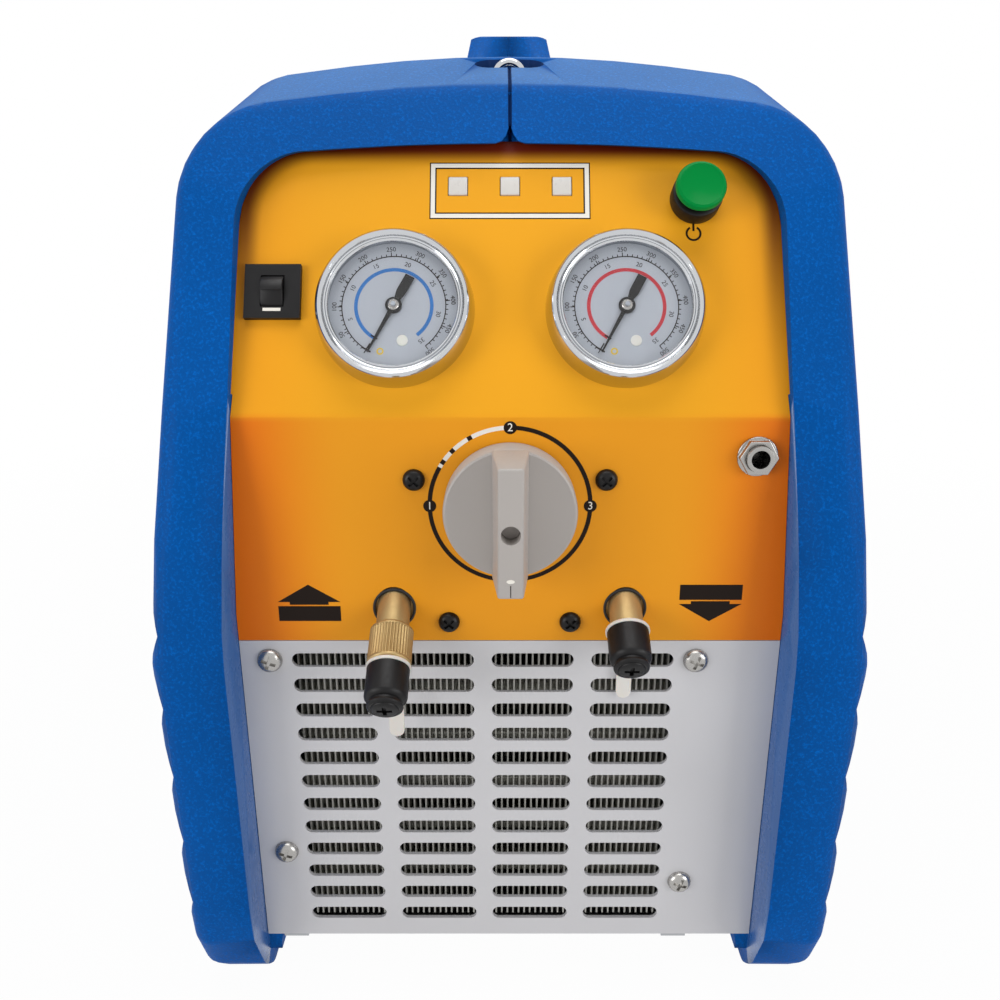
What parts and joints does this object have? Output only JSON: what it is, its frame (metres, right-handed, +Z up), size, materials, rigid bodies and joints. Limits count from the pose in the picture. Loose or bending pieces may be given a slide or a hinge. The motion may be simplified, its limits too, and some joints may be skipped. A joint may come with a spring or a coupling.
{
  "type": "refrigerant recovery machine",
  "caption": "Portable refrigerant recovery machine: two moulded shells, sloping control panel with gauges and selector valve, slotted grille, condenser, fan and compressor.",
  "frame": {"origin": "ground plane at the middle of the overall box", "axes": "+Z up, front faces -Y, +X to the right of someone facing the front"},
  "size_m": [0.2536, 0.4006, 0.3715],
  "materials": {
    "blue_shell": "textured moulded",
    "orange_panel": "satin powder coat",
    "silver_sheet": "satin paint",
    "zinc_sheet": "zinc plated",
    "chrome": "bright",
    "black_steel": "black oxide",
    "bright_steel": "bright zinc",
    "black_plastic": "satin",
    "white_dial": "printed",
    "clear_lens": "clear",
    "knob_grey": "satin",
    "brass": "machined",
    "pale_plastic": "translucent",
    "green_plastic": "gloss",
    "lamp_white": "milky window",
    "board_green": "board",
    "aluminium": "plain",
    "copper": "plain copper",
    "motor_grey": "painted",
    "black_rubber": "plain"
  },
  "bodies": {
    "housing": {"left_shell": "blue_shell", "right_shell": "blue_shell", "control_panel": "orange_panel", "front_grille": "silver_sheet", "rear_panel": "silver_sheet", "base_pan": "zinc_sheet", "strap_eye": "chrome", "panel_screws": "black_steel", "grille_screws": "bright_steel", "rear_screws": "bright_steel", "pan_screws": "bright_steel", "left_gauge_case": "black_plastic", "right_gauge_case": "black_plastic", "left_bezel": "chrome", "right_bezel": "chrome", "left_dial": "white_dial", "right_dial": "white_dial", "left_lens": "clear_lens", "right_lens": "clear_lens", "valve_manifold": "brass", "inlet_port": "brass", "outlet_port": "brass", "inlet_filter": "brass", "inlet_cap_strap": "pale_plastic", "outlet_cap_strap": "pale_plastic", "button_collar": "black_plastic", "breaker_body": "black_plastic", "lamp_windows": "lamp_white", "lamp_board": "board_green", "jack_body": "bright_steel", "jack_nut": "black_steel", "condenser_fins": "aluminium", "condenser_tubes": "aluminium", "return_bends": "copper", "left_end_plate": "zinc_sheet", "right_end_plate": "zinc_sheet", "fan_shroud": "black_plastic", "motor": "motor_grey", "motor_cradle": "zinc_sheet", "crankcase": "aluminium", "crankcase_feet": "black_rubber", "cylinder_barrel": "aluminium", "cylinder_head": "aluminium", "suction_pipe": "copper", "discharge_pipe": "copper", "outlet_pipe": "copper", "gauge_lines": "copper", "power_inlet": "black_plastic"},
    "knob": {"selector_knob": "knob_grey", "knob_screw": "black_steel", "valve_spindle": "bright_steel"},
    "left_needle": {"left_pointer": "black_plastic"},
    "right_needle": {"right_pointer": "black_plastic"},
    "button": {"start_button": "green_plastic"},
    "rocker": {"breaker_rocker": "black_plastic"},
    "rotor": {"fan": "black_plastic", "motor_shaft": "bright_steel"},
    "inlet_cover": {"inlet_cap": "black_plastic"},
    "outlet_cover": {"outlet_cap": "black_plastic"}
  },
  "joints": [
    {"name": "selector_turn", "type": "hinge", "parent": "housing", "child": "knob", "pos_m": [0, -0.16066, 0.2065], "axis": [0, 1, 0], "range_deg": [0, 270]},
    {"name": "left_needle_turn", "type": "hinge", "parent": "housing", "child": "left_needle", "pos_m": [-0.0394, -0.14422, 0.2717], "axis": [0, 0.8988, -0.4384], "range_deg": [0, 270], "stiffness_Nm_per_rad": 0.0001},
    {"name": "right_needle_turn", "type": "hinge", "parent": "housing", "child": "right_needle", "pos_m": [0.0394, -0.14422, 0.2717], "axis": [0, 0.8988, -0.4384], "range_deg": [0, 270], "stiffness_Nm_per_rad": 0.0001},
    {"name": "button_press", "type": "slide", "parent": "housing", "child": "button", "axis": [0, 0.8988, -0.4384], "range_m": [0, 0.003], "stiffness_N_per_m": 400, "springref_m": -0.003},
    {"name": "breaker_rock", "type": "hinge", "parent": "housing", "child": "rocker", "pos_m": [-0.0814, -0.14003, 0.27667], "axis": [1, 0, 0], "range_deg": [-25, 0]},
    {"name": "rotor_spin", "type": "hinge", "parent": "housing", "child": "rotor", "pos_m": [-0.0099, -0.09616, 0.088], "axis": [0, 1, 0], "continuous": true},
    {"name": "inlet_cap_off", "type": "slide", "parent": "housing", "child": "inlet_cover", "axis": [0, -0.866, -0.5], "range_m": [0, 0.02]},
    {"name": "outlet_cap_off", "type": "slide", "parent": "housing", "child": "outlet_cover", "axis": [0, -0.866, -0.5], "range_m": [0, 0.02]}
  ]
}
